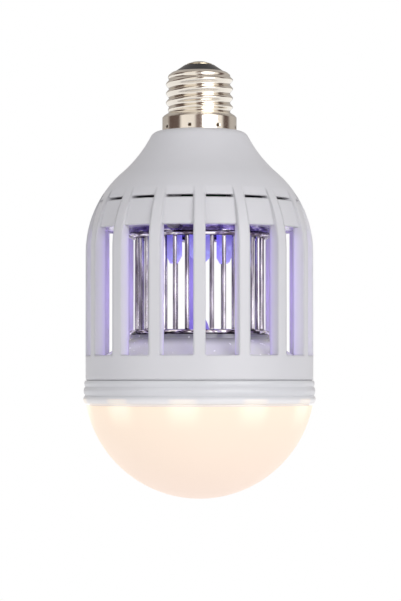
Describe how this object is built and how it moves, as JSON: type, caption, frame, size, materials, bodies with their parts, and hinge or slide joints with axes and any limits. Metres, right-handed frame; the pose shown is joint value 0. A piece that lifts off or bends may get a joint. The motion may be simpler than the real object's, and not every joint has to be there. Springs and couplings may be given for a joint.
{
  "type": "insect killer light bulb",
  "caption": "Screw-cap bulb with a ribbed open cage round a wire grid and violet lights, above a lit opal dome.",
  "frame": {"origin": "on the bulb's axis, where the cap's metal skirt meets the white housing", "axes": "+Z along the axis towards the cap's centre contact, with the dome hanging down; -Y is the side seen in the picture"},
  "size_m": [0.0904, 0.0904, 0.1704],
  "materials": {
    "white_plastic": "satin white moulding",
    "column_plastic": "translucent, lit violet",
    "nickel": "nickel plated sheet",
    "insulator": "black vitrite",
    "contact": "tinned brass",
    "grid_steel": "bright drawn wire",
    "opal_dome": "opal, lit warm white",
    "aluminium_board": "white coated aluminium board",
    "white_chip": "yellow phosphor",
    "violet_chip": "violet chip",
    "screw_steel": "zinc plated",
    "circuit_board": "green laminate",
    "can": "dark sleeve",
    "film": "dipped film",
    "ferrite": "ferrite and wire",
    "black_package": "moulded package",
    "resistor_coat": "coated body",
    "lead_red": "insulated wire",
    "lead_black": "insulated wire"
  },
  "bodies": {
    "root": {"cage_housing": "white_plastic", "base_ring": "white_plastic", "upper_carrier": "white_plastic", "floor_cone": "white_plastic", "centre_column": "column_plastic", "screw_shell": "nickel", "cap_insulator": "insulator", "centre_contact": "contact", "upper_electrode": "grid_steel", "lower_electrode": "grid_steel", "diffuser_dome": "opal_dome", "light_board": "aluminium_board", "violet_board": "aluminium_board", "white_lights": "white_chip", "violet_lights": "violet_chip", "carrier_screws": "screw_steel", "board_screws": "screw_steel", "driver_board": "circuit_board", "smoothing_capacitor": "can", "grid_capacitor": "film", "drive_choke": "ferrite", "bridge_rectifier": "black_package", "driver_chip": "black_package", "grid_resistors": "resistor_coat", "live_lead": "lead_red", "upper_grid_lead": "lead_red", "column_lead_plus": "lead_red", "neutral_lead": "lead_black", "lower_grid_lead": "lead_black", "column_lead_minus": "lead_black"}
  },
  "joints": []
}
